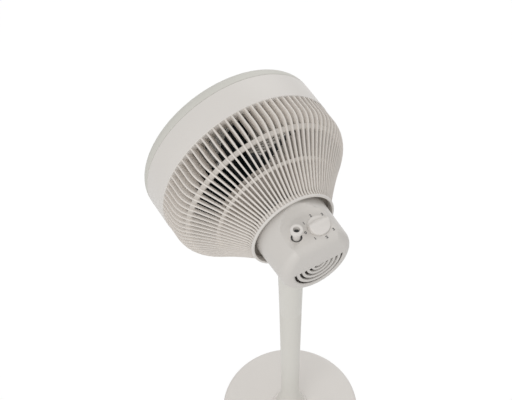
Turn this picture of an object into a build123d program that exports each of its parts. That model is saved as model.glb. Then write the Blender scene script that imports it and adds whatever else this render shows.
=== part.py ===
from build123d import *
import math
import os

# Air circulator fan on a slim round stand.  Millimetres, +Z up, front of the fan towards -Y.
# The origin is on the floor, under the middle of the round base.

# ---------------------------------------------------------------- driving dimensions
# overall
axis_z = 480.0          # height of the fan's own axis above the floor
lip_y = 6.0             # the grille's rear lip lies just behind the post's centre line
head_r = 125.0          # outer radius of the plain band round the blades
wall = 2.4              # usual wall of the mouldings

# clearances
seat_gap = 0.2          # between mouldings that seat on each other
shaft_gap = 0.05        # running clearance of a shaft or pin in its bush
swing_gap = 0.3         # between pieces of different bodies that face each other

# head, as distances s in front of the lip and radii about the fan's axis
band_rear_s = 110.5
band_front_s = 151.7
bezel_round = 14.5
bezel_steps = 3         # straight steps that the bezel's round is made of
head_front_s = 170.0
lip_outer_r = 59.6
lip_width = 4.6
lip_inner_r = lip_outer_r - lip_width
lip_rear_s = -0.8
lip_thick = 2.2
hub_flange_s = 9.5      # rear face of the flange inside the lip
hub_flange_width = 13.0
hub_flange_r = lip_inner_r - hub_flange_width

# rear grille fins
fin_count = 80
fin_thick = 2.2
fin_inset = 0.6         # the fins lie this far below the band's surface
fin_depth = 9.4         # depth of a fin where the grille is cylindrical
shoulder_s = 76.4       # where the cylinder and the cone would meet in a corner
shoulder_round = 13.0
flare_s = 7.2           # where the cone and the lip meet in a corner
cone_bow = 2.2          # how far the cone is bowed in towards the axis
cone_fin_depth = 6.8    # depth of the fins across the cone, before the bow
ring_starts = (48.1, 66.1)      # rear faces of the two support rings between the fins
ring_width = 4.5
ring_height = 5.0
ring_cover = 1.0        # how far a ring's edge lies below the fins' outer edge

# front grille
rib_count = 72
rib_thick = 1.6
rib_depth = 8.0
rib_offset = 22.0       # each rib misses the axis by this much, which gives the swirl
cap_r = 34.0
cap_edge = 9.0          # width of the cap's sloping edge

# fan blades
tip_room = 25.0         # from the blades' tips to the outside of the band
fan_r = head_r - tip_room
blade_count = 5
blade_thick = 2.0
blade_root_chord = 38.0
blade_tip_chord = 70.0
blade_root_angle = 52.0
blade_tip_angle = 24.0
blade_root_camber = 2.5
blade_tip_camber = 5.0
blade_sweep = 8.0
blade_ahead = 1.0       # the blades' middle is this far in front of the hub's
hub_wall = 3.0
hub_r = 24.0
hub_rear_s = 88.0
hub_front_s = 118.0
nut_sides = 8           # the nut in front of the hub has flats to turn it by

# motor
shaft_r = 4.0
shaft_rear_s = -5.0
stator_r = 38.5
stator_rear_s = 24.0
stator_length = 30.0
rotor_r = 21.5
air_gap = 0.5
nose_r = 44.0
cowl_wall_s = 47.5      # where the solid inner cone ends
nose_front_s = 68.0
bearing_r = 8.0

# motor housing behind the lip
housing_gap = 4.6       # dark gap between the lip and the housing
housing_r = lip_inner_r - housing_gap
housing_draft = 1.4     # the housing's radius falls by this much towards its back
housing_rear_r = housing_r - housing_draft
housing_rear_s = -59.8
housing_round = 11.5
cavity_corner = 0.6 * housing_round
panel_drop = 11.4       # the flat control panel below the top of the housing
panel_h = housing_r - panel_drop
panel_front_s = -9.0    # the flat's front edge, a wide arc
panel_flat_r = 60.0
panel_cove = 9.0        # round between the flat and the slope up to the housing's top
vent_radii = (33.5, 26.0, 19.0, 12.0, 5.5)
vent_width = 3.4
vent_top = -1.5         # the slots end on a level line just below the axis

# controls
control_s = -35.0
dial_x = -14.2
dial_r = 14.2
dial_h = 9.0
dial_skirt = 3.6
dial_stem_r = 3.0
knob_x = 17.5
knob_r = 8.8
knob_stem_r = 5.8
knob_hole_r = 7.2
knob_top = 17.0         # above the panel
knob_cup_r = 4.3
knob_cup_depth = 6.0
knob_travel = 6.0
rod_r = 2.0

# tilt hinge and oscillation spindle
hinge_s = -14.0
knuckle_r = 12.5
knuckle_width = 14.0
bolt_r = 3.0
washer_thick = 0.8
spindle_r = 5.0
bush_r = 8.0
turntable_r = 12.0
turntable_thick = 4.0
boss_inset = 1.0        # the boss under the housing ends this far inside the lip
turntable_drop = lip_inner_r - boss_inset
hinge_under = 21.0      # hinge below the boss
hinge_drop = turntable_drop + hinge_under

# neck and post
seam_z = 285.0
neck_r = 16.9           # just under the hinge arm
seam_r = 15.1
waist_r = 12.7
waist_z = 82.0
skirt_r = 21.0
post_bore_r = 7.5
spigot_r = 10.5
spigot_length = 20.0
tenon_r = 10.0

# base
base_r = 100.0
base_side_z = 16.5      # where the rounded rim ends
base_round = 6.0
base_dome_z = 23.0
base_boss_r = 24.0
base_boss_z = 29.0
foot_h = 3.0
foot_r = 8.0
foot_inset = 18.0
foot_ring_r = base_r - foot_inset
foot_count = 5
plate_thick = 2.4
weight_inset = 15.0
weight_r = base_r - weight_inset
weight_bore_r = 27.0
weight_thick = 5.5
base_screw_r = 1.5
screw_length = 8.0
screw_boss_r = 3.4
cord_hole_r = 3.6
cord_hole_z = 9.4

# ---------------------------------------------------------------- frames and helpers
axis_point = (0, lip_y, axis_z)
head = Plane(origin=axis_point, x_dir=(1, 0, 0), z_dir=(0, -1, 0))
section = Plane(origin=axis_point, x_dir=(0, -1, 0), z_dir=(-1, 0, 0))
fan_axis = Axis(axis_point, (0, -1, 0))
side = Plane(origin=(0, 0, 0), x_dir=(0, 1, 0), z_dir=(1, 0, 0))
post_section = Plane.XZ
post_axis = Axis((0, 0, 0), (0, 0, 1))
floor = Plane.XY

hinge_y = lip_y - hinge_s
hinge_z = axis_z - hinge_drop
control_y = lip_y - control_s
panel_z = axis_z + panel_h
fin_r = head_r - fin_inset
plate_z = foot_h + plate_thick

os.makedirs("parts", exist_ok=True)
written = []


def save(shape, name):
    """Label one finished piece and write it to its own file."""
    shape.label = name
    export_step(shape, "parts/" + name + ".step")
    written.append(name)


def turned(points, axis, plane):
    """Revolve a straight-sided outline, given in the plane, about the axis."""
    with BuildPart() as piece:
        with BuildSketch(plane):
            with BuildLine():
                Polyline(*points, close=True)
            make_face()
        revolve(axis=axis)
    return piece.part


def ring_on(plane, near, far, r_in, r_out):
    """A plain ring or disc about a plane's normal, between two distances along it."""
    with BuildPart() as piece:
        with BuildSketch(plane.offset(near)):
            Circle(r_out)
            if r_in > 0:
                Circle(r_in, mode=Mode.SUBTRACT)
        extrude(amount=far - near)
    return piece.part


def head_ring(s_rear, s_front, r_in, r_out):
    """A plain ring or disc about the fan's axis."""
    return ring_on(head, s_rear, s_front, r_in, r_out)


# ---------------------------------------------------------------- rear grille
cone_angle = math.atan2(fin_r - lip_outer_r, shoulder_s - flare_s)
inner_r = fin_r - fin_depth
sleeve_r = lip_inner_r + wall
cone_in_s = shoulder_s + cone_fin_depth * math.sin(cone_angle)
cone_in_r = fin_r - cone_fin_depth * math.cos(cone_angle)


def cone_inside(radius):
    """Distance s at which the fins' inner edge reaches a radius, along the cone."""
    return cone_in_s + (radius - cone_in_r) / math.tan(cone_angle)


def cone_inside_r(s):
    """Radius of the fins' inner edge at a distance s, along the cone."""
    return cone_in_r + (s - cone_in_s) * math.tan(cone_angle)


lip_front_s = lip_rear_s + lip_thick
fin_root_r = sleeve_r + seat_gap
fin_tip_r = lip_outer_r - seat_gap
cone_middle = ((shoulder_s + flare_s) / 2 + cone_bow * math.sin(cone_angle),
               (fin_r + fin_tip_r) / 2 - cone_bow * math.cos(cone_angle))
cone_slope = (fin_r - cone_middle[1]) / (shoulder_s - cone_middle[0])
rings = []
for s in ring_starts:
    ring_r = cone_middle[1] + (s - cone_middle[0]) * cone_slope - ring_cover
    rings.append(head_ring(s, s + ring_width, ring_r - ring_height, ring_r))

with BuildPart() as fin:
    with BuildSketch(section):
        with BuildLine():
            Polyline((lip_front_s, fin_tip_r), (lip_front_s, fin_root_r),
                     (cone_inside(fin_root_r), fin_root_r), (cone_inside(inner_r), inner_r),
                     (band_rear_s, inner_r), (band_rear_s, fin_r))
            Polyline((lip_front_s, fin_tip_r), (flare_s, fin_tip_r), cone_middle)
            FilletPolyline(cone_middle, (shoulder_s, fin_r), (band_rear_s, fin_r),
                           radius=shoulder_round)
        make_face()
    extrude(amount=fin_thick / 2, both=True)

fins = []
for k in range(fin_count):
    fins.append(fin.part.rotate(fan_axis, 360 / fin_count * k))

lip = turned(((lip_rear_s, lip_inner_r), (lip_rear_s, lip_outer_r - 1), (lip_rear_s + 1, lip_outer_r),
              (lip_front_s, lip_outer_r), (lip_front_s, sleeve_r),
              (hub_flange_s + wall, sleeve_r), (hub_flange_s + wall, hub_flange_r),
              (hub_flange_s, hub_flange_r), (hub_flange_s, lip_inner_r)), fan_axis, section)
band_flange_r = inner_r - seat_gap
band = turned(((band_rear_s, band_flange_r), (band_rear_s, head_r), (band_front_s, head_r),
               (band_front_s, head_r - wall), (band_rear_s + wall, head_r - wall),
               (band_rear_s + wall, band_flange_r)), fan_axis, section)

with BuildPart() as rear_grille:
    add(fins)
    add(rings)
    add(lip)
    add(band)
save(rear_grille.part, "rear_grille")

# ---------------------------------------------------------------- inner cone round the motor
cone_front_r = cone_inside_r(cowl_wall_s) - seat_gap
cone_rear_s = hub_flange_s + 2 * wall + seat_gap
cone_rear_r = cone_inside_r(cone_rear_s) - seat_gap
nose_hole_r = bearing_r + wall + seat_gap
motor_cone = turned(((cone_rear_s, cone_rear_r), (cowl_wall_s, cone_front_r),
                     (cowl_wall_s, nose_r), (nose_front_s, nose_r),
                     (nose_front_s, nose_hole_r), (nose_front_s - wall, nose_hole_r),
                     (nose_front_s - wall, nose_r - wall), (cowl_wall_s - wall, nose_r - wall),
                     (cowl_wall_s - wall, cone_front_r - 2 * wall),
                     (cone_rear_s, cone_rear_r - 2 * wall)), fan_axis, section)
save(motor_cone, "motor_cone")

# ---------------------------------------------------------------- front bezel, duct and grille
band_in_r = head_r - wall
bezel_r = head_r - seat_gap
bezel_rear_s = band_front_s + seat_gap
bezel_inner_r = head_r - bezel_round - seat_gap
duct_r = fan_r + 2 * blade_thick
bezel_edge = []
for step in range(bezel_steps + 1):
    bend = math.pi / 2 / bezel_steps * step
    bezel_edge.append((head_front_s - bezel_round * (1 - math.sin(bend)),
                       bezel_r - bezel_round * (1 - math.cos(bend))))
front_bezel = turned([(bezel_rear_s, bezel_r), *bezel_edge,
                      (head_front_s - rib_depth, bezel_inner_r),
                      (bezel_rear_s, band_in_r - 2 * wall),
                      (bezel_rear_s - 3 * wall, band_in_r - 2 * wall),
                      (bezel_rear_s - 3 * wall, band_in_r - seat_gap),
                      (bezel_rear_s, band_in_r - seat_gap)], fan_axis, section)
save(front_bezel, "front_bezel")

duct_front_s = head_front_s - rib_depth - seat_gap
duct_rear_s = band_rear_s + wall
duct_flange_r = band_in_r - 4 * seat_gap
air_duct = turned(((duct_rear_s, duct_r), (duct_rear_s, duct_flange_r),
                   (duct_rear_s + wall, duct_flange_r), (duct_rear_s + wall, duct_r + wall),
                   (duct_front_s, duct_r + wall), (duct_front_s, duct_r)), fan_axis, section)
save(air_duct, "air_duct")

rib_rear = head.offset(head_front_s - rib_depth)
rib_reach = math.sqrt((bezel_inner_r + wall) ** 2 - rib_offset ** 2)
with BuildPart() as rib:
    with BuildSketch(rib_rear):
        with Locations((rib_reach / 2, rib_offset)):
            Rectangle(rib_reach, rib_thick)
    extrude(amount=rib_depth - wall)
with BuildPart() as grille_field:
    with BuildSketch(rib_rear):
        Circle(bezel_inner_r - seat_gap)
        Circle(cap_r, mode=Mode.SUBTRACT)
    extrude(amount=rib_depth)
ribs = []
for k in range(rib_count):
    ribs.append(rib.part.rotate(fan_axis, 360 / rib_count * k))
with BuildPart() as front_grille:
    add(ribs)
    add(grille_field.part, mode=Mode.INTERSECT)
    add(head_ring(head_front_s - rib_depth, head_front_s - wall,
                  bezel_inner_r - wall, bezel_inner_r - seat_gap / 2))
    add(head_ring(head_front_s - rib_depth, head_front_s - wall, cap_r - wall, cap_r + wall / 2))
save(front_grille.part, "front_grille")

centre_cap = turned(((head_front_s - rib_depth, 0), (head_front_s - rib_depth, cap_r - wall),
                     (head_front_s - wall, cap_r - wall), (head_front_s - wall, cap_r),
                     (head_front_s, cap_r - cap_edge), (head_front_s, 0)), fan_axis, section)
save(centre_cap, "centre_cap")

# ---------------------------------------------------------------- fan blades, hub and shaft
blade_mid_s = (hub_rear_s + hub_front_s) / 2 + blade_ahead
root_plane = Plane(origin=(hub_r - hub_wall / 2, lip_y - blade_mid_s, axis_z),
                   x_dir=(0, 0, 1), z_dir=(1, 0, 0))
tip_plane = Plane(origin=(fan_r + blade_thick, lip_y - blade_mid_s, axis_z),
                  x_dir=(0, 0, 1), z_dir=(1, 0, 0))


def blade_section(plane, chord, angle, camber, shift):
    """A thin arched strip across the chord, turned to its angle."""
    with BuildSketch(plane) as strip:
        with Locations(Location((shift, 0, 0), (0, 0, angle))):
            with BuildSketch(mode=Mode.PRIVATE) as arched:
                with BuildLine():
                    Polyline((-chord / 2, 0), (0, camber), (chord / 2, 0),
                             (chord / 2, blade_thick), (0, camber + blade_thick),
                             (-chord / 2, blade_thick), close=True)
                make_face()
            add(arched.sketch)
    return strip.sketch


root_strip = blade_section(root_plane, blade_root_chord, blade_root_angle, blade_root_camber, 0)
tip_strip = blade_section(tip_plane, blade_tip_chord, blade_tip_angle, blade_tip_camber,
                          blade_sweep)
with BuildPart() as blade:
    add(loft([root_strip, tip_strip], ruled=True, mode=Mode.PRIVATE))
    add(head_ring(hub_rear_s - hub_r, hub_front_s + hub_r, hub_r - hub_wall / 2, fan_r),
        mode=Mode.INTERSECT)
blades = []
for k in range(blade_count):
    blades.append(blade.part.rotate(fan_axis, 360 / blade_count * k))
hub = turned(((hub_rear_s, shaft_r), (hub_rear_s, 2 * shaft_r), (hub_front_s - hub_wall, 2 * shaft_r),
              (hub_front_s - hub_wall, hub_r - hub_wall), (hub_rear_s, hub_r - hub_wall),
              (hub_rear_s, hub_r), (hub_front_s - hub_wall, hub_r), (hub_front_s, hub_r - hub_wall),
              (hub_front_s, shaft_r)), fan_axis, section)
with BuildPart() as fan_blades:
    add(hub)
    add(blades)
save(fan_blades.part, "fan_blades")

nut_length = 9.0
nut_r = 11.0
with BuildPart() as spinner_nut:
    with BuildSketch(head.offset(hub_front_s)):
        RegularPolygon(radius=nut_r, side_count=nut_sides)
    extrude(amount=nut_length + wall)
    add(head_ring(hub_front_s - wall, hub_front_s + nut_length, 0, shaft_r), mode=Mode.SUBTRACT)
save(spinner_nut.part, "spinner_nut")
save(head_ring(shaft_rear_s, hub_front_s + nut_length, 0, shaft_r), "motor_shaft")
save(head_ring(stator_rear_s + 1, stator_rear_s + stator_length - 1, shaft_r, rotor_r), "rotor_core")

# ---------------------------------------------------------------- motor
coil_length = 6.5
coil_out_r = stator_r - 7.0
coil_in_r = rotor_r + air_gap + 2.0
stator_front_s = stator_rear_s + stator_length
save(head_ring(stator_rear_s, stator_front_s, rotor_r + air_gap, stator_r), "stator_core")
with BuildPart() as stator_coils:
    add(head_ring(stator_rear_s - coil_length, stator_rear_s, coil_in_r, coil_out_r))
    add(head_ring(stator_front_s, stator_front_s + coil_length, coil_in_r, coil_out_r))
save(stator_coils.part, "stator_coils")

mount_rear_s = hub_flange_s + wall
mount_front_s = mount_rear_s + wall
bearing_s = (mount_rear_s, nose_front_s - 2 * wall)
bearing_length = 5.0
with BuildPart() as motor_plate:
    add(head_ring(mount_rear_s, mount_front_s, bearing_r, fin_root_r - 3 * seat_gap))
    add(head_ring(mount_rear_s, mount_rear_s + bearing_length, bearing_r, bearing_r + wall))
    with BuildSketch(head.offset(mount_front_s)):
        with PolarLocations(stator_r - 3.0, 3, start_angle=90):
            Circle(3.2)
    extrude(amount=stator_rear_s - mount_front_s)
save(motor_plate.part, "motor_plate")
front_bracket = turned(((stator_front_s, stator_r), (stator_front_s, stator_r - wall),
                        (bearing_s[1] - wall, stator_r - wall), (bearing_s[1] - wall, bearing_r),
                        (bearing_s[1] + bearing_length, bearing_r),
                        (bearing_s[1] + bearing_length, bearing_r + wall),
                        (bearing_s[1], bearing_r + wall), (bearing_s[1], stator_r)),
                       fan_axis, section)
save(front_bracket, "motor_front_bracket")
with BuildPart() as shaft_bearings:
    for s in bearing_s:
        add(head_ring(s, s + bearing_length, shaft_r + shaft_gap, bearing_r))
save(shaft_bearings.part, "shaft_bearings")

# ---------------------------------------------------------------- motor housing
collar_z = axis_z - turntable_drop
inside_r = housing_rear_r - wall
housing_front_s = hub_flange_s - seat_gap / 2
panel_y = lip_y - panel_front_s + panel_flat_r
panel_rise = 2 * panel_drop
with BuildPart() as panel_cutter:
    with BuildSketch(Plane(origin=(0, panel_y, panel_z), x_dir=(1, 0, 0), z_dir=(0, -1, 0))):
        with BuildLine():
            FilletPolyline((0, 0), (panel_flat_r, 0), (panel_flat_r + panel_rise, panel_rise),
                           radius=panel_cove)
            Polyline((panel_flat_r + panel_rise, panel_rise), (0, panel_rise), (0, 0))
        make_face()
    revolve(axis=Axis((0, panel_y, 0), (0, 0, 1)))
housing_length = housing_front_s - housing_rear_s
housing_taper = math.degrees(math.atan((housing_r - housing_rear_r) / housing_length))
with BuildPart() as cavity:
    with BuildSketch(head.offset(housing_rear_s + wall)):
        Circle(inside_r)
        with Locations((0, panel_h - wall + inside_r)):
            Rectangle(2 * inside_r, 2 * inside_r, mode=Mode.SUBTRACT)
    extrude(amount=housing_length)
    chamfer(faces().sort_by(Axis.Y)[-1].edges(), cavity_corner)
with BuildPart() as motor_housing:
    with BuildSketch(Plane(origin=(0, lip_y - housing_front_s, axis_z), x_dir=(-1, 0, 0),
                           z_dir=(0, 1, 0))):
        Circle(housing_r)
    extrude(amount=housing_length, taper=housing_taper)
    add(panel_cutter.part, mode=Mode.SUBTRACT)
    rear_edges = faces().sort_by(Axis.Y)[-1].edges()
    fillet(rear_edges, housing_round)
    with BuildSketch(Plane(origin=(0, lip_y - hinge_s, collar_z), z_dir=(0, 0, 1))):
        Circle(turntable_r)
    extrude(amount=turntable_drop - inside_r)
    add(cavity.part, mode=Mode.SUBTRACT)
    with BuildSketch(Plane(origin=(0, lip_y - hinge_s, collar_z - 1), z_dir=(0, 0, 1))):
        Circle(bush_r)
    extrude(amount=turntable_drop, mode=Mode.SUBTRACT)
    with BuildSketch(Plane.XY.offset(panel_z - 2 * wall)):
        with Locations((dial_x, control_y)):
            Circle(dial_stem_r + shaft_gap)
        with Locations((knob_x, control_y)):
            Circle(knob_hole_r)
    extrude(amount=3 * wall, mode=Mode.SUBTRACT)
    with BuildSketch(head.offset(housing_rear_s - wall)):
        for radius in vent_radii:
            with BuildSketch(mode=Mode.PRIVATE) as slot:
                Circle(radius + vent_width / 2)
                Circle(radius - vent_width / 2, mode=Mode.SUBTRACT)
                with Locations((0, vent_top + radius)):
                    Rectangle(4 * radius, 2 * radius, mode=Mode.SUBTRACT)
            add(slot.sketch)
    extrude(amount=3 * wall, mode=Mode.SUBTRACT)
save(motor_housing.part, "motor_housing")

# ---------------------------------------------------------------- inside the housing
inner_room = 24.6       # from the gear case's side to the inside of the housing
case_half = inside_r - inner_room
case_rear_s = -42.0
case_front_s = hub_flange_s - wall
case_drop = 31.0
case_rise = 14.0
case_low_z = axis_z - case_drop
case_high_z = axis_z + case_rise
case_chamfer = 3.0
case_disc_r = panel_h - wall - seat_gap
bush_drop = 24.0
crank_room = 4.0
bush_top_z = axis_z - bush_drop
crank_top_z = bush_top_z + crank_room
collar_play = 0.3
shaft_hole_r = shaft_r + hub_wall / 3
rod_low_z = case_high_z - 2 * rod_r
turn = Plane(origin=(0, hinge_y, 0), x_dir=(1, 0, 0), z_dir=(0, 0, 1))
dial = Plane(origin=(dial_x, control_y, 0), x_dir=(1, 0, 0), z_dir=(0, 0, 1))
knob = Plane(origin=(knob_x, control_y, 0), x_dir=(1, 0, 0), z_dir=(0, 0, 1))
with BuildPart() as gear_case:
    with BuildSketch(floor.offset(case_low_z)):
        with Locations((0, lip_y - (case_rear_s + case_front_s) / 2)):
            Rectangle(2 * case_half, case_front_s - case_rear_s)
    extrude(amount=case_high_z - case_low_z)
    chamfer(edges().filter_by(Axis.Z), case_chamfer)
    add(head_ring(case_front_s, mount_rear_s, 0, case_disc_r))
    add(ring_on(turn, case_low_z - 1, crank_top_z, 0, bush_r), mode=Mode.SUBTRACT)
    add(head_ring(shaft_rear_s - 1, mount_front_s, 0, shaft_hole_r), mode=Mode.SUBTRACT)
    add(ring_on(knob, rod_low_z - knob_travel - 1, case_high_z + 1, 0, rod_r + shaft_gap),
        mode=Mode.SUBTRACT)
save(gear_case.part, "gear_case")
save(ring_on(turn, collar_z, bush_top_z, spindle_r + shaft_gap, bush_r), "oscillation_bush")

capacitor_r = 8.0
capacitor_length = 34.0
capacitor_room = 4.6
capacitor_x = capacitor_r + capacitor_room - inside_r
with BuildPart() as capacitor:
    with BuildSketch(head.offset(case_front_s - capacitor_length)):
        with Locations((capacitor_x, 0)):
            Circle(capacitor_r)
    extrude(amount=capacitor_length)
save(capacitor.part, "capacitor")

switch_width = 20.0
switch_h = 12.0
switch_top_z = panel_z - wall
stem_low_z = switch_top_z - switch_h / 2
with BuildPart() as speed_switch:
    with BuildSketch(dial.offset(switch_top_z - switch_h)):
        Rectangle(switch_width, switch_width)
    extrude(amount=switch_h)
    add(ring_on(dial, stem_low_z - swing_gap, panel_z, 0, dial_stem_r + shaft_gap),
        mode=Mode.SUBTRACT)
save(speed_switch.part, "speed_switch")

# ---------------------------------------------------------------- speed dial and pull knob
dial_low_z = panel_z + swing_gap
scoop_r = 12.0
scoop_y = 13.1          # the two scoops leave a ridge between them that points at the marks
with BuildPart() as speed_dial:
    with BuildSketch(dial.offset(dial_low_z)):
        Circle(dial_r)
    extrude(amount=dial_h, taper=6)
    with BuildSketch(Plane(origin=(dial_x - dial_r, control_y, 0), x_dir=(0, 1, 0), z_dir=(1, 0, 0))):
        with Locations((-scoop_y, dial_low_z + dial_skirt + scoop_r),
                       (scoop_y, dial_low_z + dial_skirt + scoop_r)):
            Circle(scoop_r)
    extrude(amount=2 * dial_r, mode=Mode.SUBTRACT)
    add(ring_on(dial, stem_low_z, dial_low_z + dial_skirt / 2, 0, dial_stem_r))
save(speed_dial.part, "speed_dial")

knob_head_h = 6.0
knob_reach = 10.0       # of the stem below the panel's surface
knob_low_z = panel_z - knob_reach
knob_top_z = panel_z + knob_top
pull_knob = turned(((0, knob_low_z), (knob_stem_r, knob_low_z),
                    (knob_stem_r, knob_top_z - 2 * knob_head_h + wall),
                    (knob_r, knob_top_z - knob_head_h + wall), (knob_r, knob_top_z - 1),
                    (knob_r - 1, knob_top_z), (knob_cup_r, knob_top_z),
                    (knob_cup_r, knob_top_z - knob_cup_depth), (0, knob_top_z - knob_cup_depth)),
                   Axis((knob_x, control_y, 0), (0, 0, 1)),
                   Plane(origin=(knob_x, control_y, 0), x_dir=(1, 0, 0), z_dir=(0, -1, 0)))
save(pull_knob, "pull_knob")
save(ring_on(knob, rod_low_z, knob_low_z, 0, rod_r), "knob_rod")

# ---------------------------------------------------------------- tilt bracket and spindle
hinge = Plane(origin=(0, hinge_y, hinge_z), x_dir=(0, 1, 0), z_dir=(1, 0, 0))
turntable_top_z = collar_z - washer_thick - 2 * shaft_gap
spindle_low_z = hinge_z + bolt_r + wall
stalk_r = knuckle_width / 2
with BuildPart() as tilt_bracket:
    add(ring_on(hinge, -knuckle_width / 2, knuckle_width / 2, 0, knuckle_r))
    add(ring_on(turn, hinge_z, turntable_top_z, 0, stalk_r - shaft_gap))
    add(ring_on(turn, turntable_top_z - turntable_thick, turntable_top_z, 0, turntable_r))
    add(ring_on(turn, spindle_low_z, turntable_top_z, 0, spindle_r), mode=Mode.SUBTRACT)
    add(ring_on(hinge, -knuckle_width, knuckle_width, 0, bolt_r + shaft_gap), mode=Mode.SUBTRACT)
save(tilt_bracket.part, "tilt_bracket")
save(ring_on(turn, turntable_top_z, turntable_top_z + washer_thick, spindle_r + shaft_gap,
             turntable_r), "turn_washer")
collar_r = bush_r - 3 * collar_play
collar_low_z = bush_top_z + collar_play
spindle = turned(((0, spindle_low_z), (spindle_r, spindle_low_z), (spindle_r, collar_low_z),
                  (collar_r, collar_low_z), (collar_r, crank_top_z - 1), (0, crank_top_z - 1)),
                 Axis((0, hinge_y, 0), (0, 0, 1)),
                 Plane(origin=(0, hinge_y, 0), x_dir=(1, 0, 0), z_dir=(0, -1, 0)))
save(spindle, "oscillation_spindle")

# ---------------------------------------------------------------- neck with its hinge fork
arm_drop = 20.0
arm_z = hinge_z - arm_drop
neck_top_z = arm_z + wall
arm_r = neck_r - 2 * swing_gap
fork_r = neck_r - swing_gap
slot_half = knuckle_width / 2 + washer_thick + shaft_gap
slot_r = knuckle_r + wall
counterbore_r = 6.0
counterbore_depth = 3.5
socket_top_z = seam_z + spigot_length + 1
with BuildPart() as fork_plan:
    with BuildSketch(floor.offset(arm_z - arm_r)):
        Circle(fork_r)
        with Locations((0, hinge_y)):
            Circle(fork_r)
        make_hull()
    extrude(amount=hinge_z + knuckle_r + arm_r - arm_z)
with BuildPart() as upper_neck:
    with BuildSketch(side):
        with Locations((hinge_y, hinge_z)):
            Circle(knuckle_r)
        with Locations((0, arm_z)):
            Circle(arm_r)
        make_hull()
    extrude(amount=neck_r, both=True)
    add(fork_plan.part, mode=Mode.INTERSECT)
    add(turned(((0, seam_z), (seam_r, seam_z), (neck_r, neck_top_z), (0, neck_top_z)),
               post_axis, post_section))
    add(ring_on(hinge, -slot_half, slot_half, 0, slot_r), mode=Mode.SUBTRACT)
    with BuildSketch(Plane(origin=(-slot_half, 0, 0), x_dir=(0, 1, 0), z_dir=(1, 0, 0))):
        with Locations((hinge_y + neck_r, hinge_z), (hinge_y, hinge_z + neck_r)):
            Rectangle(2 * neck_r, 2 * neck_r)
    extrude(amount=2 * slot_half, mode=Mode.SUBTRACT)
    add(ring_on(hinge, -2 * neck_r, 2 * neck_r, 0, bolt_r + shaft_gap), mode=Mode.SUBTRACT)
    for near in (-2 * neck_r, fork_r - counterbore_depth):
        add(ring_on(hinge, near, near + 2 * neck_r - fork_r + counterbore_depth, 0, counterbore_r),
            mode=Mode.SUBTRACT)
    add(ring_on(floor, seam_z - 1, socket_top_z, 0, spigot_r + shaft_gap), mode=Mode.SUBTRACT)
    add(ring_on(floor, seam_z, arm_z - arm_r, 0, post_bore_r), mode=Mode.SUBTRACT)
save(upper_neck.part, "upper_neck")

head_thick = 3.0
bolt_head_r = 5.4
bolt_floor_x = fork_r - counterbore_depth
with BuildPart() as hinge_bolt:
    add(ring_on(hinge, -bolt_floor_x - head_thick, bolt_floor_x, 0, bolt_r))
    add(ring_on(hinge, bolt_floor_x, bolt_floor_x + head_thick, 0, bolt_head_r))
save(hinge_bolt.part, "hinge_bolt")
with BuildPart() as hinge_nut:
    with BuildSketch(hinge.offset(-bolt_floor_x - head_thick)):
        RegularPolygon(radius=bolt_head_r, side_count=6)
        Circle(bolt_r + shaft_gap, mode=Mode.SUBTRACT)
    extrude(amount=head_thick)
save(hinge_nut.part, "hinge_nut")
with BuildPart() as tilt_washers:
    for near in (-knuckle_width / 2 - washer_thick, knuckle_width / 2):
        add(ring_on(hinge, near, near + washer_thick, bolt_r + shaft_gap, knuckle_r - 2))
save(tilt_washers.part, "tilt_washers")

# ---------------------------------------------------------------- lower post
skirt_foot = 2.0
tenon_length = 12.0
flare_hollow = 2.1      # of the skirt's curve over the waist, half way up
tenon_low_z = base_boss_z - tenon_length
with BuildPart() as lower_post:
    with BuildSketch(post_section):
        with BuildLine():
            Polyline((post_bore_r, tenon_low_z), (tenon_r, tenon_low_z), (tenon_r, base_boss_z),
                     (skirt_r, base_boss_z), (skirt_r, base_boss_z + skirt_foot),
                     (waist_r + flare_hollow, (base_boss_z + skirt_foot + waist_z) / 2),
                     (waist_r, waist_z), (seam_r, seam_z), (spigot_r, seam_z),
                     (spigot_r, seam_z + spigot_length), (post_bore_r, seam_z + spigot_length),
                     (post_bore_r, tenon_low_z))
        make_face()
    revolve(axis=post_axis)
save(lower_post.part, "lower_post")

# ---------------------------------------------------------------- base
boss_wall = 4.0
rim_step = base_round * (1 - math.sqrt(0.5))
nut_h = 5.0
nut_across_r = 17.0
cover_in_r = base_r - wall
boss_ring_r = cover_in_r - 2 * screw_boss_r
boss_low_z = plate_z + seat_gap
boss_high_z = base_side_z - wall / 2
screw_tip_z = boss_low_z + screw_length
screw_head_r = 3.0
screw_head_h = 1.6
with BuildPart() as base_cover:
    with BuildSketch(post_section):
        with BuildLine():
            Polyline((base_r, foot_h), (base_r, base_side_z - base_round),
                     (base_r - rim_step, base_side_z - rim_step),
                     (base_r - base_round, base_side_z), (base_boss_r + wall, base_dome_z),
                     (base_boss_r, base_boss_z), (tenon_r + seat_gap, base_boss_z),
                     (tenon_r + seat_gap, base_boss_z - boss_wall),
                     (base_boss_r - wall, base_boss_z - boss_wall),
                     (base_boss_r, base_dome_z - wall), (base_r - base_round - wall, base_side_z - wall),
                     (cover_in_r, base_side_z - base_round), (cover_in_r, foot_h), (base_r, foot_h))
        make_face()
    revolve(axis=post_axis)
    with BuildSketch(floor.offset(boss_low_z)):
        with PolarLocations(boss_ring_r, foot_count, start_angle=90 + 180 / foot_count):
            Circle(screw_boss_r)
    extrude(amount=boss_high_z - boss_low_z)
    with BuildSketch(floor.offset(boss_low_z)):
        with PolarLocations(boss_ring_r, foot_count, start_angle=90 + 180 / foot_count):
            Circle(base_screw_r + shaft_gap)
    extrude(amount=screw_tip_z + seat_gap - boss_low_z, mode=Mode.SUBTRACT)
    with BuildSketch(Plane(origin=(0, base_r - 3 * wall, cord_hole_z), x_dir=(1, 0, 0), z_dir=(0, 1, 0))):
        Circle(cord_hole_r)
    extrude(amount=4 * wall, mode=Mode.SUBTRACT)
save(base_cover.part, "base_cover")

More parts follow.
